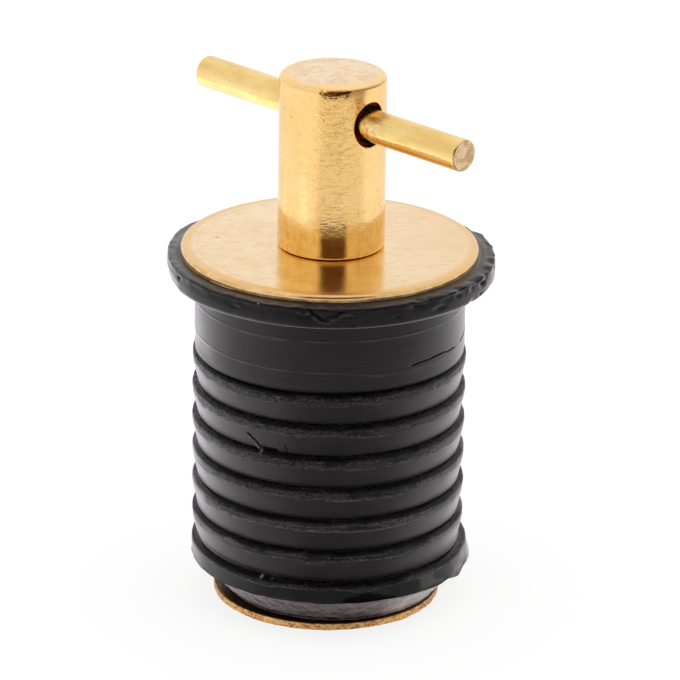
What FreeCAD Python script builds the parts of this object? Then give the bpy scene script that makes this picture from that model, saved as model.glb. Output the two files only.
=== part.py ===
import FreeCAD, Part
import math
import os

# Expanding drain plug for a boat: a rubber plug squeezed between two brass discs.
# The T-handle's post is a long nut. It runs on a stud that is riveted into the bottom plate.
# Turning the handle clockwise draws the plate and the top washer together, so the rubber bulges.
# Millimetres, +Z up along the plug's axis, origin on the axis at the bottom plate's underside.
# The cross bar lies along X.

# Bottom plate, stamped from sheet
plate_radius = 10.6
plate_thickness = 0.7
plate_edge_round = 0.15

# Rubber plug, one moulding
rubber_length = 32.8
flange_radius = 15.2
flange_thickness = 2.0
flange_top_round = 0.15
flange_low_round = 0.45
neck_radius = 12.5
neck_length = 7.1
neck_fillet = 0.9
ring_count = 6
ring_pitch = 3.1
ring_radius = 12.67
ring_shoulder = 0.32
ring_crest = 0.95
ring_round = 0.12
lip_radius = 12.22
groove_radius = 11.95
lip_undercut = 0.1
lead_band_radius = 12.88
end_radius = 10.1
end_round = 0.35
end_cone_height = 3.1

# Stud
stud_radius = 3.1
stud_engagement = 5.0
stud_point_chamfer = 0.45
rivet_radius = 2.5
rivet_head_radius = 3.15

# Top washer
washer_radius = 13.76
washer_thickness = 0.8
washer_roll = 0.4
washer_low_round = 0.12

# Handle post, turned from bar
post_radius = 4.95
post_height = 16.5
post_top_round = 0.6
post_base_chamfer = 0.2
tapped_depth = 9.3
drill_point_angle = 118.0
tapped_mouth_chamfer = 0.5

# Cross bar and its hole
bar_radius = 1.5
bar_length = 33.3
bar_chamfer = 0.18
bar_height = 12.7
bar_mouth_radius = 2.1
bar_grip_length = 5.6

# Two punch marks in the post's top face, which pinch the metal over the bar
punch_offset = 2.75
punch_turn = 21.0
punch_radius = 2.6
punch_depth = 0.14

# Clearances, each a gap on the radius
thread_clearance = 0.05
rubber_bore_clearance = 0.35
washer_hole_clearance = 0.3

# Heights that follow from the sizes
rubber_low = plate_thickness
rubber_top = rubber_low + rubber_length
flange_low = rubber_top - flange_thickness
first_lip = flange_low - neck_length
washer_low = rubber_top
post_low = washer_low + washer_thickness
stud_top = post_low + stud_engagement
bar_axis = post_low + bar_height


def corner_arc(before, corner, after, radius):
    """Return the two tangent points and the middle point of an arc that rounds a corner."""
    back = (before - corner).normalize()
    ahead = (after - corner).normalize()
    half = back.getAngle(ahead) / 2
    setback = radius / math.tan(half)
    middle = (back + ahead).normalize()
    reach = radius / math.sin(half) - radius
    return corner + back * setback, corner + middle * reach, corner + ahead * setback


def turned(corners):
    """Revolve a closed outline about Z. A corner is (radius, height) or (radius, height, rounding)."""
    points = [FreeCAD.Vector(corner[0], 0, corner[1]) for corner in corners]
    roundings = [corner[2] if len(corner) > 2 else 0 for corner in corners]
    edges = []
    count = len(points)
    starts = []
    ends = []
    for index, (point, rounding) in enumerate(zip(points, roundings)):
        if rounding:
            before = points[index - 1]
            after = points[(index + 1) % count]
            first, middle, last = corner_arc(before, point, after, rounding)
            edges.append(Part.Arc(first, middle, last).toShape())
            starts.append(first)
            ends.append(last)
        else:
            starts.append(point)
            ends.append(point)
    for index in range(count):
        edges.append(Part.makeLine(ends[index], starts[(index + 1) % count]))
    outline = Part.Wire(Part.__sortEdges__(edges))
    axis_point = FreeCAD.Vector(0, 0, 0)
    axis = FreeCAD.Vector(0, 0, 1)
    return Part.Face(outline).revolve(axis_point, axis, 360)


def bottom_plate():
    """Flat disc with a countersunk hole, which the stud's end is riveted into."""
    return turned([
        (rivet_head_radius, 0),
        (plate_radius, 0, plate_edge_round),
        (plate_radius, plate_thickness, plate_edge_round),
        (rivet_radius, plate_thickness),
    ])


def threaded_stud():
    """Stud with a shoulder on the plate, a riveted end flush under it and a chamfered point."""
    return turned([
        (0, 0),
        (rivet_head_radius, 0),
        (rivet_radius, plate_thickness),
        (stud_radius, plate_thickness),
        (stud_radius, stud_top - stud_point_chamfer),
        (stud_radius - stud_point_chamfer, stud_top),
        (0, stud_top),
    ])


def ring_outline():
    """Corners down the ringed part: each ring steps out under a lip, then tapers to the next lip."""
    corners = []
    for index in range(ring_count + 1):
        lip = first_lip - index * ring_pitch
        crest = ring_radius if index < ring_count else lead_band_radius
        corners.append((groove_radius, lip - lip_undercut))
        corners.append((crest, lip - ring_shoulder, ring_round))
        if index < ring_count:
            corners.append((crest, lip - ring_shoulder - ring_crest, ring_round))
            corners.append((lip_radius, lip - ring_pitch))
    return corners


def rubber_plug():
    """Flanged rubber body with a smooth neck, rings, a wide lead band and a cut-back end."""
    bore_radius = stud_radius + rubber_bore_clearance
    corners = [
        (bore_radius, rubber_low),
        (bore_radius, rubber_top),
        (flange_radius, rubber_top, flange_top_round),
        (flange_radius, flange_low, flange_low_round),
        (neck_radius, flange_low, neck_fillet),
        (neck_radius, first_lip),
    ]
    corners += ring_outline()
    corners += [
        (lead_band_radius, rubber_low + end_cone_height),
        (end_radius, rubber_low, end_round),
    ]
    return turned(corners)


def top_washer():
    """Thin disc with a softly rolled upper edge."""
    hole_radius = stud_radius + washer_hole_clearance
    return turned([
        (hole_radius, washer_low),
        (washer_radius, washer_low, washer_low_round),
        (washer_radius, post_low, washer_roll),
        (hole_radius, post_low),
    ])


def tapped_hole():
    """Blind hole up the post's axis, with a chamfered mouth and the drill's cone at its end."""
    radius = stud_radius + thread_clearance
    cone = radius / math.tan(math.radians(drill_point_angle / 2))
    return turned([
        (0, post_low),
        (radius + tapped_mouth_chamfer, post_low),
        (radius, post_low + tapped_mouth_chamfer),
        (radius, post_low + tapped_depth),
        (0, post_low + tapped_depth + cone),
    ])


def rod_along_x(radius, length, centre_x=0.0):
    """Cylinder along X at the cross bar's height."""
    start = FreeCAD.Vector(centre_x - length / 2, 0, bar_axis)
    return Part.makeCylinder(radius, length, start, FreeCAD.Vector(1, 0, 0))


def handle_post():
    """Turned post: tapped from below, drilled across for the bar and punched on its top face."""
    top = post_low + post_height
    post = turned([
        (0, post_low),
        (post_radius - post_base_chamfer, post_low),
        (post_radius, post_low + post_base_chamfer),
        (post_radius, top, post_top_round),
        (0, top),
    ])
    post = post.cut(tapped_hole())
    post = post.cut(rod_along_x(bar_radius, 2 * post_radius + 2))
    mouth_length = post_radius
    for side in (-1, 1):
        middle = side * (bar_grip_length + mouth_length) / 2
        post = post.cut(rod_along_x(bar_mouth_radius, mouth_length, middle))
    for side in (0, 180):
        turn = math.radians(punch_turn + side)
        x = punch_offset * math.cos(turn)
        y = punch_offset * math.sin(turn)
        centre = FreeCAD.Vector(x, y, top + punch_radius - punch_depth)
        post = post.cut(Part.makeSphere(punch_radius, centre))
    return post


def cross_bar():
    """Plain rod, gripped in the middle of the post, with its cut ends broken by a small chamfer."""
    bar = rod_along_x(bar_radius, bar_length)
    ends = [edge for edge in bar.Edges if isinstance(edge.Curve, Part.Circle)]
    return bar.makeChamfer(bar_chamfer, ends)


nodes = {
    "bottom_plate": bottom_plate,
    "threaded_stud": threaded_stud,
    "rubber_plug": rubber_plug,
    "top_washer": top_washer,
    "handle_post": handle_post,
    "cross_bar": cross_bar,
}

os.makedirs("parts", exist_ok=True)
for name, build in nodes.items():
    build().exportStep(f"parts/{name}.step")
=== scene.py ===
import math

import bpy
import numpy as np
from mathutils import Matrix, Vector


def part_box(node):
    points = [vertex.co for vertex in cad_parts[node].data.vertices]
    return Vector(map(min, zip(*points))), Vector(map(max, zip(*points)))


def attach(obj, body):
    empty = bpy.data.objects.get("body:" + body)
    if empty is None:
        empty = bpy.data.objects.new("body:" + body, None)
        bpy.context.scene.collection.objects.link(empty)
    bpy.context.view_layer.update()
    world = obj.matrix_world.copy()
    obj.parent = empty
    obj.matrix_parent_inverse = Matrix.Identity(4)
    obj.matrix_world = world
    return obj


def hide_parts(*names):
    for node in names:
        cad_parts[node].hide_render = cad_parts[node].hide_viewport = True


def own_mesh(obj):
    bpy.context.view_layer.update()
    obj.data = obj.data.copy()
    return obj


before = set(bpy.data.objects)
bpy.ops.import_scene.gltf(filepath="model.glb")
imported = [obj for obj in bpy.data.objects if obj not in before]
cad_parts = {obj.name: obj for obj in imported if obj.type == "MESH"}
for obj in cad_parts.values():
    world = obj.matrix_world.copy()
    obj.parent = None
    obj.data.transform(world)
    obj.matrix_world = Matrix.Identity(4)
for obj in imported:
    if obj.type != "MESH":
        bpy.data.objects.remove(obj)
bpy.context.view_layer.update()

# Looks of the expanding drain plug, around its fixed frame.
# Lengths are in millimetres up to the place where a mesh is made, which turns them into metres.
# A bearing is the angle round the plug's axis, in degrees: 0 faces the camera, 90 is picture right.

MM = 0.001

# Camera, fitted to the photograph
camera_azimuth = 44.544
camera_elevation = 21.036
camera_distance = 494.723
camera_lens = 282.512
camera_sensor = 36.0
camera_roll = 0.868
target_across = 0.971
target_height = 24.77

# Levels of the studio light
side_level = 1.12
upper_side_level = 0.98
back_level = 1.02
top_level = 1.0
front_low_level = 0.93
right_upper_level = 0.84
camera_zone_tint = (0.095, 0.036, 0.0)
low_light_reach = (20.0, 98.0)
low_light_width = 120.0
low_light_radiance = 0.45
floor_glow = 0.8
floor_albedo = 0.26

# Rubber plug
bore_radius = 3.45
flange_low_radius = 14.98
flange_thickness = 2.0
neck_radius = 12.5
neck_fillet = 0.9
first_lip_height = 24.37
ring_pitch = 3.1
ring_count = 6
ring_radius = 12.67
lip_radius = 12.22
groove_radius = 11.95
lead_band_radius = 12.88
flash_radius = 13.04
flash_height = 3.8
flash_shift = 0.34
end_radius = 10.02
end_shift = 0.48
end_round = 0.35
mould_line_heights = (29.3, 26.3)
rubber_columns = 384

# Hollows in the flange: bearing, drop below the top, half width in degrees, half height, depth
flange_notches = (
    (67.0, 0.75, 3.0, 0.35, 0.5),
    (76.0, 1.9, 2.4, 0.5, 0.25),
    (59.0, 1.8, 3.0, 0.5, 0.18),
    (41.0, 1.1, 4.0, 0.35, 0.22),
    (-66.0, 0.6, 1.6, 0.25, 0.3),
    (8.0, 1.5, 1.6, 0.22, 0.2),
    (24.0, 1.1, 2.2, 0.2, 0.18),
    (31.0, 0.5, 1.8, 0.26, 0.25),
    (-9.4, 0.8, 2.5, 0.2, 0.16),
    (-34.0, 0.9, 3.0, 0.2, 0.12),
    (64.5, 1.5, 1.4, 0.24, 0.2),
    (50.0, 0.6, 2.0, 0.24, 0.3),
    (83.0, 0.6, 1.6, 0.3, 0.4),
    (90.0, 0.5, 1.4, 0.25, 0.35),
)

# Torn skin on the front of the flange, as a line of (bearing, drop below the top)
flange_tear = (
    (-11.0, 0.4), (-7.5, 0.5), (-5.5, 0.85), (-3.2, 1.3), (-0.8, 1.4), (0.8, 1.05), (3.0, 0.9), (4.5, 0.6), (9.0, 0.55),
)

# Tear across a ring, as (bearing, height)
ring_tear = ((-35.6, 19.46), (-33.8, 19.18), (-31.9, 18.8), (-30.0, 18.32), (-28.3, 18.0))

# Specks and lint on the rubber: bearing, height, half width in degrees, half height, strength
dust_specks = (
    (-29.0, 5.52, 0.9, 0.11, 1.0),
    (-25.7, 5.66, 0.7, 0.07, 0.6),
    (-24.1, 5.58, 0.8, 0.07, 0.7),
    (-22.7, 5.72, 0.7, 0.08, 0.8),
    (-25.2, 33.4, 0.5, 0.08, 0.9),
    (29.3, 24.86, 0.35, 0.07, 0.5),
    (-43.2, 22.97, 0.5, 0.1, 0.7),
    (-10.1, 8.48, 1.2, 0.07, 0.35),
    (-42.4, 7.51, 0.5, 0.07, 0.6),
)

golden_specks = 3

# Handle
post_smooth_height = 36.9
post_face_height = 50.5
bar_radius = 1.5
hole_radius = 2.1
hole_mouth_bevel = 0.16
hole_narrowing = 0.84
grip_half_length = 2.8
punch_offset = 2.75
punch_turn = 21.0
punch_radius = 2.6
punch_depth = 0.14

bar_end_dull = 16.45

# Painted shade in the crease under the post's hammered lip: bearings, its upper edge below the top, its thickness
crease_bearings = (-12.0, -8.0, -3.0, 4.0, 12.0, 27.0, 42.0, 60.0, 80.0)
crease_tops = (-0.46, -0.34, -0.18, -0.17, -0.21, -0.17, -0.14, -0.16, -0.16)
crease_depths = (0.05, 0.28, 0.5, 0.44, 0.3, 0.22, 0.15, 0.1, 0.05)

# Scuffs on the post's face: ends as steps to picture right and away from the camera, half width
face_scuffs = (
    ((-3.1, 0.4), (-1.9, 1.5), 0.2),
    ((-1.9, 1.5), (-0.5, 2.0), 0.22),
    ((1.5, 2.4), (1.9, 0.9), 0.2),
    ((1.9, 0.9), (2.9, -0.7), 0.22),
    ((2.2, -2.2), (3.9, -0.6), 0.18),
    ((-2.4, -1.6), (-0.2, -0.9), 0.16),
)

# Washer
washer_hole = 3.4
washer_roll_start = 12.5
washer_edge_start = 13.6
washer_ring_radius = 12.3
washer_shift = 0.1
washer_scratch = (-8.32, -6.55, 34.3)

# Stud
stud_radius = 3.1
thread_lead = 1.27
thread_depth = 0.72


def extent(node):
    """Return a node's lowest and highest corner in millimetres."""
    low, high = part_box(node)
    return np.array(low) / MM, np.array(high) / MM


def smooth_step(value, start, end):
    """Rise smoothly from 0 at start to 1 at end."""
    share = np.clip((value - start) / (end - start), 0, 1)
    return share * share * (3 - 2 * share)


def window(value, start, end, soft):
    """Be 1 between start and end, with soft sides outside them."""
    return smooth_step(value, start - soft, start) * (1 - smooth_step(value, end, end + soft))


def bump_at(value, centre, half_width):
    """Be 1 at the centre and fall smoothly to 0 at half_width on either side."""
    share = np.clip(1 - np.abs(value - centre) / half_width, 0, 1)
    return share * share * (3 - 2 * share)


def along_path(x, y, path, half_width):
    """Be 1 on a line through the path's points and fall smoothly to 0 at half_width from it."""
    nearest = np.full(np.broadcast(x, y).shape, np.inf)
    for (first_x, first_y), (second_x, second_y) in zip(path, path[1:]):
        run_x, run_y = second_x - first_x, second_y - first_y
        share = ((x - first_x) * run_x + (y - first_y) * run_y) / (run_x**2 + run_y**2)
        share = np.clip(share, 0, 1)
        gap = np.hypot(x - first_x - share * run_x, y - first_y - share * run_y)
        nearest = np.minimum(nearest, gap)
    return bump_at(nearest, 0.0, half_width)


def random_field(points, size, seed):
    """Smooth random values, about -1 to 1, whose features have the given size."""
    cells = 32
    table = np.random.default_rng(seed).uniform(-1, 1, (cells, cells, cells))
    place = points / np.asarray(size, float)
    corner = np.floor(place).astype(int)
    share = place - corner
    share = share * share * (3 - 2 * share)
    total = np.zeros(points.shape[:-1])
    for step in np.ndindex(2, 2, 2):
        weight = np.prod(np.where(step, share, 1 - share), axis=-1)
        index = (corner + step) % cells
        total += weight * table[index[..., 0], index[..., 1], index[..., 2]]
    return total


def around(bearings, radius, height):
    """Points at the given bearings, radii and heights."""
    angle = np.radians(camera_azimuth + bearings)
    radius = np.broadcast_to(radius, np.broadcast(angle, radius, height).shape)
    height = np.broadcast_to(height, radius.shape)
    return np.stack([radius * np.sin(angle), -radius * np.cos(angle), height], -1)


def even_bearings(count):
    """Bearings of count equal steps round the axis, from -180."""
    return np.arange(count) * 360.0 / count - 180.0


def stretch(start, end, count):
    """Points from start to end, without the end."""
    share = np.linspace(0, 1, count, endpoint=False)[:, None]
    return np.array(start, float) * (1 - share) + np.array(end, float) * share


def bend(centre, radius, start, end, count):
    """Points of an arc between two angles in degrees, without the end."""
    angle = np.radians(np.linspace(start, end, count, endpoint=False))
    return np.stack([centre[0] + radius * np.cos(angle), centre[1] + radius * np.sin(angle)], -1)


class Skin:
    """Points and faces of one closed surface, gathered from grids."""

    def __init__(self):
        self.points = []
        self.faces = []
        self.count = 0

    def add_grid(self, rows, loop=False, flip=False):
        """Add rows of points, each row a closed ring; loop joins the last row to the first."""
        height, width = rows.shape[:2]
        index = self.count + np.arange(height * width).reshape(height, width)
        lower = index if loop else index[:-1]
        upper = np.roll(index, -1, 0) if loop else index[1:]
        quads = np.stack([lower, np.roll(lower, -1, 1), np.roll(upper, -1, 1), upper], -1).reshape(-1, 4)
        self.points.append(rows.reshape(-1, 3))
        self.faces.extend((quads[:, ::-1] if flip else quads).tolist())
        self.count += height * width
        return index

    def add_tip(self, ring, point, flip=False):
        """Close a ring of point numbers with a fan to one point."""
        tip = self.count
        self.points.append(np.array([point], float))
        self.count += 1
        for first, second in zip(ring, np.roll(ring, -1)):
            corners = [int(first), int(second), tip]
            self.faces.append(corners[::-1] if flip else corners)

    def make(self, name, material, body, nodes, sharp_angle=38.0, marks=None):
        """Turn the skin into a piece that rides on a body and stands for CAD nodes."""
        mesh = bpy.data.meshes.new(name)
        points = np.concatenate(self.points)
        mesh.from_pydata((points * MM).tolist(), [], self.faces)
        for mark, values in (marks or {}).items():
            kind = "FLOAT_VECTOR" if values.ndim == 2 else "FLOAT"
            field = "vector" if values.ndim == 2 else "value"
            attribute = mesh.attributes.new(mark, kind, "POINT")
            attribute.data.foreach_set(field, values.astype(np.float32).ravel())
        weld(mesh)
        mesh.set_sharp_from_angle(angle=math.radians(sharp_angle))
        mesh.materials.append(material)
        piece = bpy.data.objects.new(name, mesh)
        bpy.context.scene.collection.objects.link(piece)
        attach(piece, body)
        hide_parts(*nodes)
        return piece


def weld(mesh):
    """Join points that lie together, point the faces outwards and shade them smooth."""
    import bmesh
    work = bmesh.new()
    work.from_mesh(mesh)
    bmesh.ops.remove_doubles(work, verts=work.verts, dist=1e-7)
    bmesh.ops.recalc_face_normals(work, faces=work.faces)
    work.to_mesh(mesh)
    work.free()
    mesh.shade_smooth()


# Materials


class Nodes:
    """A node tree, with short ways to add and link nodes."""

    def __init__(self, tree):
        self.tree = tree

    def add(self, kind, inputs=None, **settings):
        """Add a node, set its properties, and set or link its inputs."""
        node = self.tree.nodes.new(kind)
        for setting, value in settings.items():
            setattr(node, setting, value)
        for key, value in (inputs or {}).items():
            self.feed(node.inputs[key], value)
        return node

    def feed(self, socket, value):
        """Link an output to a socket, or set the socket's own value."""
        if isinstance(value, bpy.types.NodeSocket):
            self.tree.links.new(value, socket)
        else:
            socket.default_value = value

    def ramp(self, value, low, high, start=0.0, end=1.0):
        """Rise from start to end as the value goes from low to high."""
        inputs = {"Value": value, "From Min": low, "From Max": high, "To Min": start, "To Max": end}
        return self.add("ShaderNodeMapRange", inputs, interpolation_type="SMOOTHSTEP").outputs[0]

    def mix(self, share, first, second):
        """Blend two colours."""
        return self.add("ShaderNodeMix", {0: share, 6: first, 7: second}, data_type="RGBA").outputs[2]

    def blend(self, share, first, second):
        """Blend two numbers."""
        return self.add("ShaderNodeMix", {0: share, 2: first, 3: second}, data_type="FLOAT").outputs[0]

    def math(self, operation, first, second=0.0, third=0.0):
        """One arithmetic step."""
        inputs = dict(enumerate((first, second, third)))
        return self.add("ShaderNodeMath", inputs, operation=operation).outputs[0]


class Shader(Nodes):
    """A material's node tree, with its surface shader and the textures it is made of."""

    def __init__(self, name):
        self.material = bpy.data.materials.new(name)
        self.material.use_nodes = True
        super().__init__(self.material.node_tree)
        self.surface = self.tree.nodes["Principled BSDF"]

    def finish(self, **inputs):
        """Feed the surface shader, with names such as Base_Color for its sockets."""
        for key, value in inputs.items():
            self.feed(self.surface.inputs[key.replace("_", " ")], value)
        return self.material

    def mark(self, name, output="Fac"):
        """Read a value stored on the mesh."""
        return self.add("ShaderNodeAttribute", attribute_name=name).outputs[output]

    def place(self, stretch=(1, 1, 1), turn=(0, 0, 0)):
        """The piece's own coordinates in millimetres, turned and stretched."""
        source = self.add("ShaderNodeTexCoord").outputs["Object"]
        scale = [1 / (MM * share) for share in stretch]
        turned = self.add("ShaderNodeMapping", {"Vector": source, "Rotation": turn}).outputs[0]
        return self.add("ShaderNodeMapping", {"Vector": turned, "Scale": scale}).outputs[0]

    def spot(self, centre, half_size, turn):
        """Be 1 in a small patch at a place in millimetres, turned by an angle in degrees."""
        source = self.place()
        offset = self.add("ShaderNodeVectorMath", {0: source, 1: centre}, operation="SUBTRACT").outputs[0]
        angle = (0, 0, math.radians(turn))
        turned = self.add("ShaderNodeMapping", {"Vector": offset, "Rotation": angle}).outputs[0]
        scaled = self.add("ShaderNodeVectorMath", {0: turned, 1: half_size}, operation="DIVIDE").outputs[0]
        reach = self.add("ShaderNodeVectorMath", {0: scaled}, operation="LENGTH").outputs["Value"]
        return self.ramp(reach, 1.4, 0.6)

    def noise(self, vector, scale, detail=3.0, roughness=0.5, distortion=0.0):
        """Noise between 0 and 1."""
        inputs = {"Vector": vector, "Scale": scale, "Detail": detail, "Roughness": roughness}
        inputs["Distortion"] = distortion
        return self.add("ShaderNodeTexNoise", inputs).outputs["Fac"]

    def relief(self, height, depth, under=None):
        """Bump of the given depth in millimetres, on top of another."""
        inputs = {"Height": height, "Distance": depth * MM, "Strength": 1.0}
        if under is not None:
            inputs["Normal"] = under
        return self.add("ShaderNodeBump", inputs).outputs[0]


def colour(red, green, blue):
    """A linear colour with full alpha."""
    return (red, green, blue, 1.0)


def post_brass():
    """Tumbled brass: smooth foot, wrinkles above it, sparse pits, a pale top face, hole walls painted brown as shade
    and reflection, painted shade in the crease under the lip, and a brown stain above the hole.
    """
    shader = Shader("post_brass")
    place = shader.place()
    height = shader.add("ShaderNodeSeparateXYZ", {0: place}).outputs["Z"]
    upper = shader.ramp(height, post_smooth_height, post_smooth_height + 1.4)
    upper = shader.math("MULTIPLY", upper, shader.ramp(height, 38.0, 47.5, 0.6, 1.35))
    upper = shader.math("MULTIPLY", upper, shader.mark("wrinkled"))
    upper = shader.math("MULTIPLY", upper, shader.ramp(shader.mark("shade_and_stain"), 0.3, 0.8, 1.0, 0.1))
    wavy = shader.noise(shader.place(stretch=(1, 1, 0.45)), 1.3, 3.5, 0.56, 1.2)
    middle = shader.math("ABSOLUTE", shader.math("SUBTRACT", wavy, 0.5))
    broken = shader.ramp(shader.noise(place, 1.2, 3.0, 0.6), 0.5, 0.64)
    crease = shader.math("MULTIPLY", shader.ramp(middle, 0.0, 0.02, 1.0, 0.0), broken)
    crease = shader.math("MULTIPLY", crease, upper)
    cells = shader.add("ShaderNodeTexVoronoi", {"Vector": place, "Scale": 1.1, "Randomness": 1.0})
    sparse = shader.ramp(shader.noise(place, 0.8, 2.0), 0.44, 0.56)
    pit = shader.math("MULTIPLY", shader.ramp(cells.outputs["Distance"], 0.04, 0.14, 1.0, 0.0), sparse)
    pit = shader.math("MULTIPLY", pit, shader.ramp(height, post_smooth_height, post_smooth_height + 0.8))
    cloud = shader.noise(place, 0.35, 3.0)
    grain = shader.noise(shader.place(stretch=(0.25, 0.25, 6.0)), 1.2, 3.0, 0.6)
    tint = shader.mix(shader.ramp(cloud, 0.3, 0.7), colour(0.91, 0.605, 0.25), colour(0.94, 0.65, 0.295))
    tint = shader.mix(shader.ramp(grain, 0.35, 0.6, 0.12, 0.0), tint, colour(0.82, 0.48, 0.15))
    mottle = shader.noise(shader.place(stretch=(1, 1, 0.6)), 1.6, 5.0, 0.68)
    tint = shader.mix(shader.ramp(mottle, 0.52, 0.36, 0.0, 0.45), tint, colour(0.84, 0.50, 0.17))
    warmed = shader.math("MULTIPLY", shader.mark("wrinkled"), shader.ramp(height, 39.0, 47.0, 0.25, 0.8))
    tint = shader.mix(warmed, tint, colour(0.97, 0.61, 0.215))
    foot = shader.ramp(height, post_smooth_height + 1.0, post_smooth_height, 0.0, 0.8)
    upright = shader.noise(shader.place(stretch=(0.5, 0.5, 2.0)), 1.2, 4.0, 0.6)
    smudge = shader.math("MULTIPLY", shader.math("ADD", upright, shader.noise(place, 1.3, 4.0, 0.65)), 0.5)
    worn_foot = shader.mix(shader.ramp(smudge, 0.38, 0.58), colour(0.78, 0.47, 0.10), colour(0.92, 0.62, 0.19))
    tint = shader.mix(foot, tint, worn_foot)
    face = shader.ramp(height, post_face_height, post_face_height + 0.1)
    stain = shader.ramp(shader.noise(place, 0.7, 5.0, 0.65, 0.8), 0.4, 0.58)
    pale = shader.mix(stain, colour(0.83, 0.58, 0.34), colour(0.89, 0.69, 0.46))
    moved = shader.add("ShaderNodeVectorMath", {0: place, 1: (0.42, -0.43, 0)}, operation="ADD").outputs[0]
    flat = shader.add("ShaderNodeVectorMath", {0: moved, 1: (1, 1, 0)}, operation="MULTIPLY").outputs[0]
    radius = shader.add("ShaderNodeVectorMath", {0: flat}, operation="LENGTH").outputs["Value"]
    ragged = shader.math("MULTIPLY", shader.noise(place, 0.42, 3.0, 0.55, 0.6), 2.4)
    face = shader.math("MULTIPLY", face, shader.ramp(shader.math("ADD", radius, ragged), 5.75, 4.75))
    tint = shader.mix(face, tint, pale)
    tint = shader.mix(shader.math("MULTIPLY", crease, 0.3), tint, colour(0.66, 0.30, 0.07))
    tint = shader.mix(shader.math("MULTIPLY", pit, 0.75), tint, colour(0.26, 0.13, 0.05))
    # Painted shade and brown reflection on the walls of the bar's hole
    tint = shader.mix(shader.mark("hole_shade"), tint, colour(0.56, 0.29, 0.10))
    # Painted shade in the crease and inside the hole, and a brown stain above the hole
    tint = shader.mix(shader.mark("shade_and_stain"), tint, colour(0.33, 0.155, 0.045))
    hollow = shader.math("ADD", shader.math("MULTIPLY", wavy, upper), shader.math("MULTIPLY", crease, -0.3))
    bump = shader.relief(hollow, 0.06)
    bump = shader.relief(grain, 0.0015, bump)
    bump = shader.relief(mottle, 0.011, bump)
    bump = shader.relief(shader.math("MULTIPLY", pit, -1.0), 0.04, bump)
    rough = shader.math("ADD", shader.ramp(cloud, 0.3, 0.7, 0.09, 0.14), shader.math("MULTIPLY", face, 0.12))
    rough = shader.math("ADD", rough, shader.math("MULTIPLY", foot, 0.04))
    return shader.finish(Base_Color=tint, Metallic=1.0, Roughness=rough, Normal=bump)


def bar_brass():
    """Drawn brass rod: fine lengthwise lines, speckles, a stain beside the post and dull sawn ends."""
    shader = Shader("bar_brass")
    place = shader.place()
    lines = shader.noise(shader.place(stretch=(6, 0.3, 0.3)), 1.4, 4.0, 0.6)
    cloud = shader.noise(shader.place(stretch=(3.0, 0.8, 0.8)), 0.5, 4.0, 0.6)
    speckle = shader.noise(shader.place(stretch=(1.6, 1, 1)), 3.2, 4.0, 0.7)
    along = shader.add("ShaderNodeSeparateXYZ", {0: place}).outputs["X"]
    reach = shader.math("ABSOLUTE", along)
    end = shader.ramp(reach, bar_end_dull, bar_end_dull + 0.12)
    tint = shader.mix(shader.ramp(cloud, 0.35, 0.65), colour(0.83, 0.56, 0.19), colour(0.92, 0.68, 0.30))
    tint = shader.mix(shader.ramp(lines, 0.42, 0.26), tint, colour(0.62, 0.40, 0.12))
    tint = shader.mix(shader.ramp(speckle, 0.42, 0.3, 0.0, 0.4), tint, colour(0.50, 0.32, 0.10))
    spotted = shader.ramp(shader.noise(place, 1.3, 4.0, 0.7), 0.45, 0.6)
    stained = shader.math("MULTIPLY", shader.ramp(along, 9.0, 5.2), spotted)
    stained = shader.math("MULTIPLY", stained, shader.ramp(along, 0.0, 1.0))
    tint = shader.mix(shader.math("MULTIPLY", stained, 0.7), tint, colour(0.42, 0.21, 0.06))
    stain = shader.ramp(shader.noise(place, 1.1, 3.0, 0.6), 0.4, 0.6)
    sawn = shader.mix(stain, colour(0.60, 0.38, 0.20), colour(0.84, 0.61, 0.38))
    from_axis = shader.add("ShaderNodeVectorMath", {0: place, 1: (0, 0, -47.0)}, operation="ADD").outputs[0]
    from_axis = shader.add("ShaderNodeVectorMath", {0: from_axis, 1: (0, 1, 1)}, operation="MULTIPLY").outputs[0]
    from_axis = shader.add("ShaderNodeVectorMath", {0: from_axis}, operation="LENGTH").outputs["Value"]
    tool_marks = shader.math("SINE", shader.math("MULTIPLY", from_axis, 24.0))
    sawn = shader.mix(shader.ramp(tool_marks, 0.2, 0.9, 0.0, 0.35), sawn, colour(0.20, 0.10, 0.045))
    base = shader.mix(end, tint, sawn)
    bump = shader.relief(lines, 0.014)
    bump = shader.relief(speckle, 0.012, bump)
    rough = shader.math("ADD", shader.ramp(cloud, 0.3, 0.7, 0.16, 0.26), shader.math("MULTIPLY", end, 0.15))
    return shader.finish(Base_Color=base, Metallic=1.0, Roughness=rough, Normal=bump)


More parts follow.
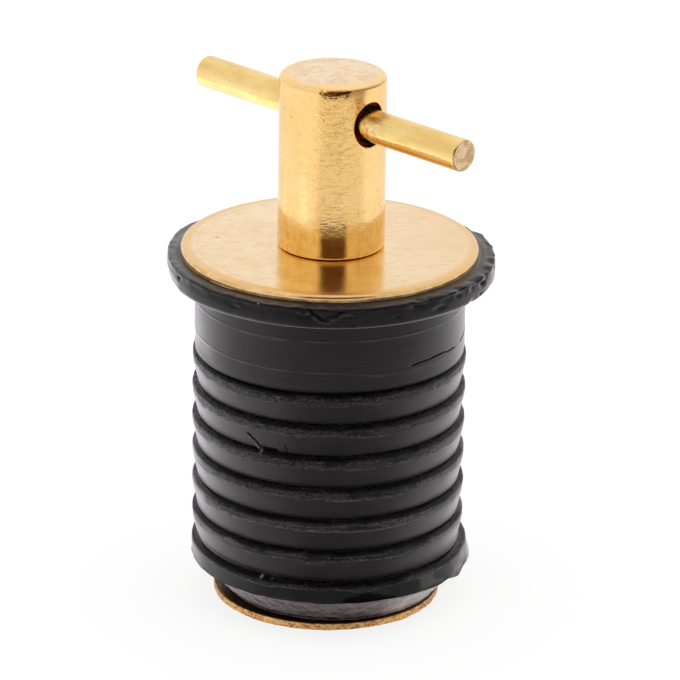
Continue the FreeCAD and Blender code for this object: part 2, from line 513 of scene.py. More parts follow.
def washer_brass():
    """Rolled brass sheet: crossed fine grain, clouds and specks, a warmer rim and an edge painted dark brown as shade.
    """
    shader = Shader("washer_brass")
    place = shader.place()
    turn = (0, 0, math.radians(-camera_azimuth))
    grain = shader.noise(shader.place(stretch=(4.0, 0.22, 1), turn=turn), 1.6, 4.0, 0.55)
    cloud = shader.noise(place, 0.25, 5.0, 0.65)
    mottle = shader.noise(shader.place(stretch=(1.6, 0.8, 1), turn=turn), 1.5, 4.0, 0.65)
    tint = shader.mix(shader.ramp(cloud, 0.35, 0.65), colour(0.85, 0.62, 0.35), colour(0.91, 0.70, 0.455))
    tint = shader.mix(shader.ramp(mottle, 0.5, 0.34, 0.0, 0.5), tint, colour(0.74, 0.49, 0.22))
    across = shader.add("ShaderNodeMapping", {"Vector": place, "Rotation": turn}).outputs[0]
    across = shader.add("ShaderNodeSeparateXYZ", {0: across}).outputs["X"]
    tint = shader.mix(shader.ramp(across, 1.0, 12.0, 0.0, 0.45), tint, colour(0.80, 0.55, 0.27))
    tint = shader.mix(shader.ramp(grain, 0.42, 0.3, 0.0, 0.35), tint, colour(0.70, 0.46, 0.20))
    flat = shader.add("ShaderNodeVectorMath", {0: place, 1: (1, 1, 0)}, operation="MULTIPLY").outputs[0]
    radius = shader.add("ShaderNodeVectorMath", {0: flat}, operation="LENGTH").outputs["Value"]
    rim = shader.ramp(radius, washer_roll_start, washer_roll_start + 0.7)
    tint = shader.mix(shader.math("MULTIPLY", rim, 0.8), tint, colour(0.80, 0.495, 0.20))
    # A darker line round the flat at washer_ring_radius, on picture left only
    left_ring_line = shader.math("ABSOLUTE", shader.math("SUBTRACT", radius, washer_ring_radius))
    left_ring_line = shader.math("MULTIPLY", shader.ramp(left_ring_line, 0.04, 0.2, 1.0, 0.0), shader.ramp(mottle, 0.4, 0.55))
    left_ring_line = shader.math("MULTIPLY", left_ring_line, shader.ramp(across, -2.0, -7.0))
    tint = shader.mix(shader.math("MULTIPLY", left_ring_line, 0.3), tint, colour(0.66, 0.42, 0.20))
    # Painted shade: the edge is darkened to a freckled brown
    edge = shader.ramp(radius, washer_edge_start, washer_edge_start + 0.06)
    freckles = shader.ramp(shader.noise(place, 1.1, 3.0, 0.5), 0.35, 0.65)
    edge_tint = shader.mix(freckles, colour(0.71, 0.44, 0.19), colour(0.86, 0.59, 0.29))
    tint = shader.mix(edge, tint, edge_tint)
    scratch = shader.spot(washer_scratch, (0.25, 0.08, 1.0), -30.0)
    tint = shader.mix(scratch, tint, colour(0.10, 0.055, 0.025))
    bump = shader.relief(grain, 0.004)
    bump = shader.relief(mottle, 0.006, bump)
    bump = shader.relief(shader.noise(place, 2.6, 4.0, 0.65), 0.006, bump)
    rough = shader.math("ADD", shader.ramp(cloud, 0.3, 0.7, 0.15, 0.21), shader.math("MULTIPLY", rim, 0.06))
    return shader.finish(Base_Color=tint, Metallic=1.0, Roughness=rough, Normal=bump)


def plate_brass():
    """Stamped brass sheet with a coarse, freckled sheared edge and an upper face painted dark as shade under the
    rubber.
    """
    shader = Shader("plate_brass")
    place = shader.place(stretch=(1, 1, 0.6))
    height = shader.add("ShaderNodeSeparateXYZ", {0: shader.place()}).outputs["Z"]
    freckles = shader.noise(place, 2.8, 5.0, 0.75)
    cloud = shader.noise(place, 0.5, 3.0)
    tint = shader.mix(shader.ramp(freckles, 0.4, 0.6), colour(0.30, 0.12, 0.04), colour(0.78, 0.45, 0.175))
    tint = shader.mix(shader.ramp(cloud, 0.4, 0.65, 0.0, 0.6), tint, colour(0.66, 0.40, 0.17))
    flat = shader.add("ShaderNodeVectorMath", {0: shader.place(), 1: (1, 1, 0)}, operation="MULTIPLY").outputs[0]
    radius = shader.add("ShaderNodeVectorMath", {0: flat}, operation="LENGTH").outputs["Value"]
    edge = shader.ramp(radius, 10.15, 10.35)
    grain = shader.noise(shader.place(stretch=(3.0, 0.25, 1)), 1.4, 4.0, 0.6)
    rolled = shader.mix(shader.ramp(grain, 0.35, 0.62), colour(0.66, 0.43, 0.18), colour(0.80, 0.56, 0.27))
    rolled = shader.mix(shader.ramp(cloud, 0.45, 0.7, 0.0, 0.6), rolled, colour(0.55, 0.33, 0.14))
    tint = shader.mix(edge, rolled, tint)
    # Painted shade on the upper face, which lies under the rubber
    tint = shader.mix(shader.ramp(height, 0.62, 0.69), tint, colour(0.22, 0.10, 0.035))
    bump = shader.relief(shader.math("MULTIPLY", freckles, edge), 0.06)
    bump = shader.relief(grain, 0.006, bump)
    rough = shader.blend(edge, shader.ramp(cloud, 0.3, 0.7, 0.2, 0.3), shader.ramp(freckles, 0.3, 0.7, 0.5, 0.32))
    return shader.finish(Base_Color=tint, Metallic=1.0, Roughness=rough, Normal=bump)


def stud_brass():
    """Rolled thread in brass, a little dull."""
    shader = Shader("stud_brass")
    cloud = shader.noise(shader.place(), 1.2, 4.0, 0.6)
    tint = shader.mix(shader.ramp(cloud, 0.3, 0.7), colour(0.70, 0.46, 0.18), colour(0.86, 0.60, 0.26))
    bump = shader.relief(cloud, 0.01)
    rough = shader.ramp(cloud, 0.3, 0.7, 0.3, 0.4)
    return shader.finish(Base_Color=tint, Metallic=1.0, Roughness=rough, Normal=bump)


def black_rubber():
    """Moulded black rubber: satin tapers, pitted crests with glossy grey flecks whose pale colour is a painted glint, a
    torn brown-grey cut end, and painted shade under the lips and next to the washer.
    """
    shader = Shader("black_rubber")
    rest = shader.mark("rest", "Vector")
    shade = shader.mark("shade")
    cut = shader.mark("cut")
    dust_and_highlight = shader.mark("dust_and_highlight")
    grit = shader.noise(rest, 3.4, 5.0, 0.72)
    cloud = shader.noise(rest, 0.35, 4.0, 0.6)
    smear = shader.noise(rest, 1.3, 5.0, 0.68)
    level_rest = shader.add("ShaderNodeMapping", {"Vector": rest, "Scale": (1, 1, 2.6)}).outputs[0]
    turned_rest = shader.add("ShaderNodeMapping", {"Vector": rest, "Scale": (0.1, 0.1, 5.0)}).outputs[0]
    level_lines = shader.noise(turned_rest, 1.0, 4.0, 0.62)
    height = shader.add("ShaderNodeSeparateXYZ", {0: rest}).outputs["Z"]
    lower_rings = shader.math("MULTIPLY", shader.ramp(height, 17.5, 12.0), shader.ramp(smear, 0.66, 0.52))
    lined = shader.noise(level_rest, 2.6, 4.0, 0.7)
    lined = shader.blend(shader.math("MULTIPLY", lower_rings, 0.8), lined, level_lines)
    edge = shader.math("ADD", shader.mark("grain"), shader.ramp(lined, 0.36, 0.64, -0.45, 0.3))
    grainy = shader.ramp(edge, 0.34, 0.6)
    crest = shader.math("MAXIMUM", grainy, shader.mark("crest"))
    fine = shader.noise(level_rest, 3.8, 3.0, 0.65)
    fleck = shader.math("MULTIPLY", shader.ramp(fine, 0.58, 0.64), shader.ramp(smear, 0.42, 0.6, 0.15, 1.0))
    long_rest = shader.add("ShaderNodeMapping", {"Vector": rest, "Scale": (0.5, 0.5, 7.0)}).outputs[0]
    streak = shader.math("MULTIPLY", shader.ramp(shader.noise(long_rest, 1.1, 3.0, 0.6), 0.56, 0.62), 0.6)
    line = shader.math("MULTIPLY", shader.ramp(level_lines, 0.5, 0.58), 0.35)
    fleck = shader.blend(shader.math("MULTIPLY", lower_rings, 0.85), shader.math("MAXIMUM", fleck, streak), line)
    fleck = shader.math("MULTIPLY", fleck, grainy)
    border = shader.ramp(shader.mark("grain"), 0.02, 0.2)
    border = shader.math("MULTIPLY", border, shader.ramp(shader.mark("grain"), 0.75, 0.35))
    border = shader.math("MULTIPLY", border, shader.ramp(level_lines, 0.52, 0.6))
    border = shader.math("MULTIPLY", border, shader.ramp(cloud, 0.38, 0.5))
    fleck = shader.math("MAXIMUM", fleck, shader.math("MULTIPLY", border, 0.5))
    pit = shader.math("MULTIPLY", shader.ramp(grit, 0.46, 0.38), shader.math("MAXIMUM", grainy, cut))
    # The hollow mark adds painted shade under the lips, in the cracks and in the chipped foot
    pit = shader.math("MAXIMUM", pit, shader.mark("hollow"))
    base = shader.mix(shader.ramp(cloud, 0.3, 0.7), colour(0.0046, 0.0036, 0.0036), colour(0.0072, 0.006, 0.0064))
    base = shader.mix(crest, base, colour(0.0034, 0.0032, 0.0032))
    # The flecks' pale colour is a painted glint; their glossier tint is real
    base = shader.mix(shader.math("MULTIPLY", fleck, 0.65), base, colour(0.075, 0.073, 0.077))
    torn = shader.mix(shader.ramp(smear, 0.4, 0.58), colour(0.009, 0.005, 0.0035), colour(0.07, 0.043, 0.033))
    base = shader.mix(cut, base, torn)
    base = shader.mix(pit, base, colour(0.001, 0.001, 0.001))
    # Painted shade on the flange's top next to the washer
    base = shader.mix(shade, base, colour(0.016, 0.009, 0.005))
    speck = shader.mix(shader.mark("amber"), colour(0.42, 0.39, 0.35), colour(0.62, 0.36, 0.09))
    # Dust and lint in their own colour, and painted highlights on the mould lines, the torn skin's ridge and the tear's
    # flap
    base = shader.mix(dust_and_highlight, base, speck)
    gloss = shader.mix(fleck, colour(0.085, 0.08, 0.085), colour(0.75, 0.75, 0.79))
    satin = shader.mix(shader.ramp(level_lines, 0.38, 0.6), colour(0.20, 0.175, 0.195), colour(0.29, 0.25, 0.28))
    gloss = shader.mix(shader.math("MAXIMUM", crest, shader.math("MULTIPLY", cut, 0.6)), satin, gloss)
    # Painted brown reflection of the washer in the gloss on the flange's top
    gloss = shader.mix(shade, gloss, colour(0.34, 0.22, 0.13))
    gloss = shader.mix(pit, gloss, colour(0.01, 0.01, 0.01))
    smooth_rough = shader.ramp(cloud, 0.3, 0.7, 0.28, 0.38)
    rough = shader.math("ADD", smooth_rough, shader.math("MULTIPLY", crest, 0.2))
    rough = shader.math("ADD", rough, shader.math("MULTIPLY", cut, 0.2))
    gritty = shader.math("MULTIPLY", grainy, shader.ramp(lower_rings, 0.0, 1.0, 1.0, 0.3))
    depth = shader.math("ADD", 0.004, shader.math("MULTIPLY", shader.math("MAXIMUM", gritty, cut), 0.045))
    bump = shader.relief(shader.math("MULTIPLY", grit, depth), 1.0)
    bump = shader.relief(shader.math("MULTIPLY", lined, shader.ramp(gritty, 0.0, 1.0, 0.003, 0.035)), 1.0, bump)
    line_depth = shader.ramp(shader.math("MULTIPLY", lower_rings, grainy), 0.0, 1.0, 0.007, 0.03)
    bump = shader.relief(shader.math("MULTIPLY", level_lines, line_depth), 1.0, bump)
    lit = shader.ramp(shade, 0.0, 1.0, 1.0, 0.15)
    lit = shader.math("MULTIPLY", lit, shader.ramp(pit, 0.0, 1.0, 1.0, 0.2))
    coat_weight = shader.math("MULTIPLY", shader.ramp(crest, 0.0, 1.0, 1.0, 0.55), lit)
    coat_weight = shader.math("MULTIPLY", coat_weight, shader.ramp(cut, 0.0, 1.0, 1.0, 0.3))
    coat = {"Coat_Weight": coat_weight, "Coat_IOR": 1.2, "Coat_Roughness": 0.36, "Coat_Normal": bump}
    lit = shader.math("MULTIPLY", lit, shader.ramp(crest, 0.0, 1.0, 1.0, 0.85))
    sheen = {"Sheen_Weight": lit, "Sheen_Roughness": 0.3, "Sheen_Tint": colour(1.0, 0.93, 1.0)}
    return shader.finish(Base_Color=base, Specular_Tint=gloss, Roughness=rough, Normal=bump, **coat, **sheen)


# Rubber plug


def lip_heights():
    """Heights of the lips, from the neck's down to the lead band's."""
    return [first_lip_height - index * ring_pitch for index in range(ring_count + 1)]


def rubber_profile():
    """Closed outline of the rubber as (radius, height), from the bore's foot up and round."""
    low, high = extent("rubber_plug")
    flange_radius = high[0]
    top = high[2]
    foot = low[2]
    flange_low = top - flange_thickness
    top_round = 0.16
    low_round = flange_radius - flange_low_radius + 0.25
    side_low = flange_low + low_round
    lips = lip_heights()
    runs = [
        stretch((bore_radius, foot), (bore_radius, top), 3),
        stretch((bore_radius, top), (13.1, top), 2),
        stretch((13.1, top), (flange_radius - top_round, top), 9),
        bend((flange_radius - top_round, top - top_round), top_round, 90, 0, 3),
        stretch((flange_radius, top - top_round), (flange_radius, side_low), 14),
        bend((flange_radius - low_round, side_low), low_round, 0, -90, 6),
        stretch((flange_radius - low_round, flange_low), (neck_radius + neck_fillet, flange_low), 3),
        bend((neck_radius + neck_fillet, flange_low - neck_fillet), neck_fillet, 90, 180, 6),
    ]
    upper_line = mould_line_heights[0]
    neck_stops = [
        (flange_low - neck_fillet, 4), (upper_line + 0.16, 5), (upper_line - 0.16, 9),
        (26.62, 13), (25.9, 5), (lips[0] + 0.03, 0),
    ]
    for (upper, count), (lower, _) in zip(neck_stops, neck_stops[1:]):
        runs.append(stretch((neck_radius, upper), (neck_radius, lower), count))
    for index, lip in enumerate(lips):
        edge = neck_radius if index == 0 else lip_radius
        last = index == ring_count
        crest = lead_band_radius if last else ring_radius
        runs.append(stretch((edge - 0.03, lip - 0.01), (groove_radius, lip - 0.02), 1))
        runs.append(stretch((groove_radius, lip - 0.02), (groove_radius, lip - 0.12), 1))
        runs.append(stretch((groove_radius, lip - 0.12), (crest - 0.07, lip - 0.34), 2))
        runs.append(stretch((crest - 0.07, lip - 0.34), (crest, lip - 0.5), 1))
        if last:
            runs.append(stretch((crest, lip - 0.5), (flash_radius - 0.06, flash_height + 0.12), 9))
        else:
            low_rows = 24 if index == 1 else 8
            drop = np.linspace(1.45, ring_pitch - 0.02, low_rows)
            drop = np.concatenate([np.linspace(0.5, 1.45, 8)[:-1], drop])
            fall = np.clip((drop - 0.9) / (ring_pitch - 0.95), 0, 1) ** 1.15
            runs.append(np.stack([crest - (crest - lip_radius) * fall, lip - drop], -1))
    cone_top = (12.62, flash_height - 0.02)
    cone_low = (end_radius + 0.04, foot + end_round)
    runs += [
        stretch((flash_radius - 0.06, flash_height + 0.12), (flash_radius, flash_height), 1),
        stretch((flash_radius, flash_height), (12.86, flash_height - 0.1), 1),
        stretch((12.86, flash_height - 0.1), cone_top, 1),
        stretch(cone_top, cone_low, 14),
        bend((end_radius - end_round, foot + end_round), end_round, 0, -90, 4),
        stretch((end_radius - end_round, foot), (bore_radius, foot), 3),
    ]
    return np.concatenate(runs)


def crest_share(bearings, radius, height, points):
    """How rough the surface is: 1 on the dusty upper part of a ring, 0 on its smooth taper."""
    ragged = 0.15 * random_field(points, (1.2, 1.2, 0.4), 3) + 0.12 * random_field(points, 2.2, 4)
    patches = 0.55 + 0.45 * smooth_step(random_field(points, (3.0, 3.0, 1.2), 5), -0.3, 0.3)
    share = np.zeros(height.shape)
    for index, lip in enumerate(lip_heights()):
        below = lip - height
        reach = 0.5 if index == ring_count else 1.0
        ending = reach + ragged
        band = smooth_step(below, 0.0, 0.12) * (1 - smooth_step(below, ending, ending + 0.45))
        share = np.maximum(share, band)
    return share * patches * (radius > 12.0)


def uneven_bearings(count):
    """Bearings round the axis, closer together in front and closest at the torn lip."""
    fine = np.linspace(-180, 180, 7201)
    density = 1 + 0.7 * window(fine, -95, 95, 10) + 2.5 * window(fine, -37, -16, 4) + window(fine, -10, 9, 4)
    reach = np.concatenate([[0], np.cumsum((density[1:] + density[:-1]) / 2)])
    return np.interp(np.arange(count) / count * reach[-1], reach, fine)


def flange_outline(bearings):
    """Change of the flange's radius round the plug: a trimmed corner, flats and dips."""
    change = -0.12 * window(bearings, -88, -40, 22) - 0.05 * window(bearings, -30, 30, 20)
    change = change - 0.1 * bump_at(bearings, -117, 6) - 0.4 * window(bearings, -142, -124, 6)
    change = change - 0.5 * window(bearings, 116, 150, 5) - 0.1 * window(bearings, 101, 109, 1.6)
    return change - 0.12 * bump_at(bearings, -154, 10)


def notches(bearings, drop, list_of_notches):
    """Sum of small hollows: each has a bearing, a drop below the top, half sizes and a depth."""
    total = 0
    for place, level, half_width, half_height, depth in list_of_notches:
        total = total + depth * bump_at(bearings, place, half_width) * bump_at(drop, level, half_height)
    return total


def rubber_plug():
    """The ringed and flanged moulding, with its rough crests, cuts, dents and cut-back end."""
    profile = rubber_profile()
    low, high = extent("rubber_plug")
    flange_radius = high[0]
    top = high[2]
    flange_low = top - flange_thickness
    bearings = uneven_bearings(rubber_columns)[None, :]
    radius = profile[:, :1] + 0 * bearings
    height = profile[:, 1:] + 0 * bearings
    points = around(bearings, radius, height)
    outer = radius > 9.0
    lips = lip_heights()

    # Rough crests, turning into fine level lines on the lower rings
    crest = crest_share(bearings, radius, height, points)
    coarse = random_field(points, (0.7, 0.7, 0.5), 11)
    fine = random_field(points, (0.34, 0.34, 0.18), 12)
    lined = random_field(points, (2.6, 2.6, 0.16), 13)
    lower_half = smooth_step(height, 17.0, 12.0)
    texture = (0.035 * coarse + 0.016 * fine) * (1 - 0.55 * lower_half) + 0.04 * lined * (0.4 + 0.6 * lower_half)
    push = crest * (texture - 0.01)

    # Slow waves of the whole moulding, and of each lip
    below_flange = height < flange_low - 0.5
    wave = 0.03 * random_field(points, 6.0, 21) + 0.006 * random_field(points, 2.0, 22)
    push = push + below_flange * outer * wave
    lip_zone = sum(bump_at(height, lip + 0.05, 0.5) for lip in lips)
    sag = 0.03 * random_field(points, (2.5, 2.5, 6.0), 23)
    lift = lip_zone * sag * outer

    # Neck: two fine mould lines and the dent at picture left
    upper_line, lower_line = mould_line_heights
    lower_line = lower_line - 0.45 * window(bearings, 25, 60, 25) * (bearings > 0)
    worn = 0.6 + 0.6 * random_field(points, (1.6, 1.6, 6.0), 24)
    for mould_line in (upper_line, lower_line):
        ridge = bump_at(height, mould_line + 0.03 * np.sin(np.radians(3 * bearings)), 0.13)
        push = push + 0.045 * worn * ridge * (radius > 12.2) * (radius < 12.9)
    dent_place = window(bearings, -112, -70, 14) * window(height, 25.0, 26.0, 0.4)
    push = push - 0.08 * dent_place * (radius > 12.2)

    # Flange: trimmed outline, broken flash along its upper edge at the right, nicks
    on_flange = (height > flange_low - 0.01) * (radius > 13.9)
    drop = top - height
    upper = smooth_step(drop, 1.1, 0.3)
    outline = flange_outline(bearings)
    push = push + on_flange * smooth_step(radius, 13.9, 14.9) * outline * (0.45 + 0.55 * upper)
    lower = smooth_step(drop, 0.7, 1.5) * (radius > 14.5)
    push = push - 0.2 * on_flange * lower * window(bearings, -104, -74, 10)
    broken = 0.22 + 0.78 * window(bearings, 32, 96, 10) + 0.5 * window(bearings, -8, 9, 6)
    chips = 0.16 * random_field(points, (0.7, 0.7, 0.55), 31) - 0.12 * np.abs(random_field(points, 0.5, 32))
    push = push + on_flange * upper * (radius > 14.6) * broken * (chips - 0.07)
    top_ring = on_flange * (drop < 0.25) * smooth_step(radius, 14.0, 14.9)
    lift = lift + top_ring * (0.3 + broken) * (0.10 * random_field(points, 0.8, 33) - 0.06)
    grazes = 0.012 * random_field(points, (0.5, 0.5, 1.6), 34)
    push = push + on_flange * (radius > 14.6) * (grazes - 0.012)
    push = push - on_flange * notches(bearings, drop, flange_notches)
    around_flange = bearings * 0.26
    torn_skin = [(place * 0.26, level) for place, level in flange_tear]
    wobble = 0.1 * random_field(points, (0.5, 0.5, 0.4), 50)
    ridge = along_path(around_flange, drop + wobble, torn_skin, 0.17) * smooth_step(wobble, -0.05, 0.0)
    pocket = along_path(around_flange, drop + 0.3, torn_skin[1:-1], 0.45)
    push = push + on_flange * (0.12 * ridge - 0.4 * pocket * (1 - ridge))

    # Cuts: the curved slit under the neck's mould line and the tear across a lip
    frayed = 0.06 * random_field(points, (0.55, 0.55, 9.0), 47)
    slit_height = 26.2 + 0.14 * bump_at(bearings, 51, 15) + frayed
    slit = window(bearings, 38, 65, 2) * bump_at(height, slit_height, 0.11)
    slit = slit + window(bearings, 73, 88, 2) * bump_at(height, 26.1 + 0.035 * (bearings - 73), 0.09)
    gaps = smooth_step(random_field(points, (0.7, 0.7, 9.0), 48), -0.75, -0.3)
    push = push - 0.3 * gaps * slit * (radius > 12.2)
    torn_line = [(place * 0.215, level) for place, level in ring_tear]
    tear = along_path(bearings * 0.215, height, torn_line, 0.14)
    flap_line = [(x - 0.15, level - 0.12) for x, level in torn_line]
    flap = along_path(bearings * 0.215, height, flap_line, 0.13) * (radius > 11.9) * (1 - tear)
    flap = flap * smooth_step(bearings, -37, -32)
    lip_tear = bump_at(height, 18.28, 0.3) * window(bearings, -28.5, -19.0, 1.0)
    crack = lip_tear * smooth_step(random_field(points, (0.5, 0.5, 3.0), 49), -0.35, 0.1)
    end_crack = along_path(bearings * 0.215, height + 0.4 * frayed, [(-3.75, 18.1), (-3.84, 18.95)], 0.13)
    push = push + (0.2 * flap - 0.42 * tear - 0.34 * crack - 0.13 * end_crack) * (radius > 11.9)

    # Flash at the lead band's foot and the torn, cut-back end
    flash = (np.abs(height - flash_height) < 0.14) * (radius > 12.8)
    flash_noise = 0.04 * random_field(points, (0.8, 0.8, 3.0), 41) + 0.03 * random_field(points, 0.4, 42)
    push = push + flash * flash_noise
    sagging = 0.06 * random_field(points, (1.4, 1.4, 5.0), 43) - 0.35 * bump_at(bearings, 66, 9)
    lift = lift + flash * sagging
    chip_top = flash_height + 0.85 * bump_at(bearings, 16, 17) + 0.12 * random_field(points, (0.8, 0.8, 6.0), 40)
    foot_chip = smooth_step(chip_top - height, -0.2, 0.15) * window(bearings, 8, 27, 6)
    foot_chip = foot_chip * (height > flash_height - 0.15) * (radius > 12.4)
    push = push - 0.05 * foot_chip
    cone = window(height, 0.7, flash_height - 0.1, 0.3) * (radius > 9.6) * (radius < 12.9)
    torn = 0.06 * random_field(points, (0.9, 0.9, 0.4), 44) + 0.05 * random_field(points, 0.4, 45)
    push = push + cone * (torn - 0.05)
    shift = np.interp(height, (0.7, flash_height, 6.5), (end_shift, flash_shift, 0.0)) * (radius > 9.0)

    heights_at_rest = height
    radius = np.minimum(radius + push, flange_radius)
    height = np.minimum(height + lift, top)
    moved = around(bearings, radius, height)
    across = around(np.array(90.0), 1.0, 0.0)
    moved = moved + shift[..., None] * across
    rest = moved.reshape(-1, 3)

    edge_wear = 0.3 + 0.5 * window(bearings, 10, 115, 20) - 0.25 * window(bearings, -125, -72, 15)
    # Painted shade on the flange's top next to the washer, with the washer's painted brown reflection in its gloss
    shade = on_flange * (drop < 0.3) * smooth_step(radius, 14.75, 13.9) * window(bearings, -84, 92, 25)
    flange_side = on_flange * (radius > 14.5) * (0.55 + 0.25 * random_field(points, 1.5, 35))
    flange_side = flange_side * (1 - 0.45 * window(bearings, -105, -62, 15))
    lead_band = (height < lips[-1] - 0.1) * (height > flash_height + 0.15) * (radius > 12.4)
    lead_band_zone = lead_band
    lead_band = lead_band * (0.7 + 0.3 * random_field(points, 1.2, 36))
    bare = window(bearings, 38, 84, 10) * smooth_step(random_field(points, (1.6, 1.6, 0.8), 37), -0.25, 0.1)
    lead_band = lead_band * (1 - 0.8 * bare)
    ending = 0.3 + 0.12 * random_field(points, (1.0, 1.0, 4.0), 38)
    # Painted shade: a dark, dull band just under each lip, in the chipped foot of the lead band and in the cracks
    hollow = np.zeros(height.shape)
    for lip in lips:
        below = lip - heights_at_rest
        hollow = np.maximum(hollow, (below > -0.015) * (1 - smooth_step(below, ending, ending + 0.35)))
    hollow = np.maximum(0.9 * hollow * (radius > 11.5) * (radius < 13.5), foot_chip)
    hollow = np.maximum(hollow, (0.8 * crack + 0.35 * end_crack) * (radius > 11.9))
    grain = crest * (0.45 + 0.55 * smooth_step(np.abs(bearings), 160, 20))
    crest = np.clip(np.maximum(flange_side + top_ring * edge_wear, lead_band), 0, 1)
    cut_share = (cone * smooth_step(height, flash_height + 0.1, flash_height - 0.1)).ravel()
    dust_and_highlight = np.clip(-notches(bearings, height, [speck[:4] + (-speck[4],) for speck in dust_specks]), 0, 1)
    lines = sum(bump_at(height, line, 0.12) for line in (upper_line, lower_line))
    golden = [speck[:4] + (-speck[4],) for speck in dust_specks[:golden_specks]]
    amber = np.clip(-notches(bearings, height, golden), 0, 1)
    # Painted highlights: lighter mould lines here, and the torn skin's ridge and the tear's flap below, on top of real
    # dust and lint
    dust_and_highlight = dust_and_highlight * (radius > 12.0) + 0.1 * worn * lines * (radius > 12.2) * (radius < 12.9)
    smears = 0.72 + 0.4 * random_field(points, (1.2, 1.2, 0.5), 46)
    dust_and_highlight = dust_and_highlight + 1.05 * cone * smears * window(bearings, 38, 85, 15)
    dust_and_highlight = dust_and_highlight + 0.07 * bare * lead_band_zone
    dust_and_highlight = np.clip(dust_and_highlight + 0.1 * on_flange * ridge * worn + 0.4 * flap, 0, 1)
    skin = Skin()
    skin.add_grid(moved, loop=True)
    marks = {"rest": rest, "crest": crest.ravel(), "cut": cut_share, "dust_and_highlight": dust_and_highlight.ravel()}
    marks.update({"shade": shade.ravel(), "grain": grain.ravel(), "hollow": hollow.ravel()})
    marks["amber"] = amber.ravel()
    piece = skin.make("rubber_moulding", black_rubber(), "plug", ["rubber_plug"], 50, marks)
    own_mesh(piece)
    return piece


# Brass pieces


def lathe(profile, count):
    """Rows of points round the axis for a closed or open outline."""
    bearings = even_bearings(count)[None, :]
    return bearings, profile[:, :1] + 0 * bearings, profile[:, 1:] + 0 * bearings


def top_washer():
    """Thin disc, slightly dished, with a softly rolled upper edge."""
    low, high = extent("top_washer")
    rim = high[0]
    foot, top = low[2], high[2]
    corner = 0.12
    roll = np.array([
        (washer_roll_start, 0.0), (12.7, 0.004), (12.95, 0.014), (13.15, 0.026), (13.3, 0.038), (13.42, 0.052),
        (13.5, 0.068), (13.57, 0.095), (13.63, 0.135), (13.69, 0.20), (13.73, 0.29), (rim, 0.42),
    ])
    profile = np.concatenate([
        stretch((washer_hole, foot), (washer_hole, top), 3),
        stretch((washer_hole, top), (washer_roll_start, top), 26),
        roll * (1, -1) + (0, top),
        stretch((rim, top - 0.46), (rim, foot + corner), 4),
        bend((rim - corner, foot + corner), corner, 0, -90, 5),
        stretch((rim - corner, foot), (washer_hole, foot), 6),
    ])
    bearings, radius, height = lathe(profile, 360)
    points = around(bearings, radius, height)
    face = (height > top - 0.45) * (radius > 5.2)
    height = height - face * 0.010 * np.abs(random_field(points, 2.6, 51))
    edge = smooth_step(radius, 13.3, 13.7) * (height > foot + 0.1)
    shift = around(np.array(-90.0), washer_shift, 0.0)
    radius = np.minimum(radius + edge * 0.02 * (random_field(points, (3.0, 3.0, 1.5), 52) - 0.5), rim)
    skin = Skin()
    skin.add_grid(around(bearings, radius, height) + shift, loop=True)
    return skin.make("washer", washer_brass(), "washer", ["top_washer"])


def bottom_plate():
    """Stamped disc, with a rough sheared edge."""
    low, high = extent("bottom_plate")
    rim = high[0]
    foot, top = low[2], high[2]
    corner = 0.12
    profile = np.concatenate([
        stretch((2.5, top), (rim - corner, top), 12),
        bend((rim - corner, top - corner), corner, 90, 0, 4),
        stretch((rim, top - corner), (rim, foot + corner), 7),
        bend((rim - corner, foot + corner), corner, 0, -90, 4),
        stretch((rim - corner, foot), (3.15, foot), 12),
        stretch((3.15, foot), (2.5, top), 3),
    ])
    bearings, radius, height = lathe(profile, 380)
    points = around(bearings, radius, height)
    edge = smooth_step(radius, rim - 0.3, rim - 0.05)
    rough = 0.05 * random_field(points, (0.5, 0.5, 0.25), 61) + 0.03 * random_field(points, 0.25, 62)
    radius = radius + edge * (rough - 0.03)
    height = np.clip(height + edge * 0.05 * random_field(points, (1.2, 1.2, 0.5), 63), foot, top)
    skin = Skin()
    skin.add_grid(around(bearings, radius, height), loop=True)
    return skin.make("plate", plate_brass(), "plug", ["bottom_plate"])


def threaded_stud():
    """Stud with a cut thread from under the washer to its point, riveted at its foot."""
    low, high = extent("threaded_stud")
    foot, tip = low[2], high[2]
    shoulder = 0.7
    count = 48
    bearings = even_bearings(count)[None, :]
    thread_start = 20.0
    steps = np.arange(thread_start, tip - 0.05, thread_lead / 8)
    heights = np.concatenate([[foot, foot, shoulder, shoulder, 2.0, 8.0, 14.0], steps, [tip, tip]])[:, None]
    radii = np.concatenate([[0.01, 3.15, 2.5], np.full(len(heights) - 5, stud_radius), [2.65, 0.01]])[:, None]
    turn = (heights / thread_lead + bearings / 360.0) % 1.0
    groove = np.abs(2 * turn - 1)
    threaded = smooth_step(heights, thread_start, thread_start + 1.0)
    point = np.clip((tip - heights) / 0.6, 0, 1)
    cut = thread_depth * np.clip(groove * 1.15 - 0.08, 0, 1) * threaded * point
    radius = np.maximum(radii - cut * (radii > 2.9), 0.01)
    rows = around(bearings, radius, heights + 0 * bearings)
    skin = Skin()
    index = skin.add_grid(rows[1:-1])
    skin.add_tip(index[0], (0, 0, foot), flip=True)
    skin.add_tip(index[-1], (0, 0, tip))
    return skin.make("stud", stud_brass(), "plug", ["threaded_stud"], 30)


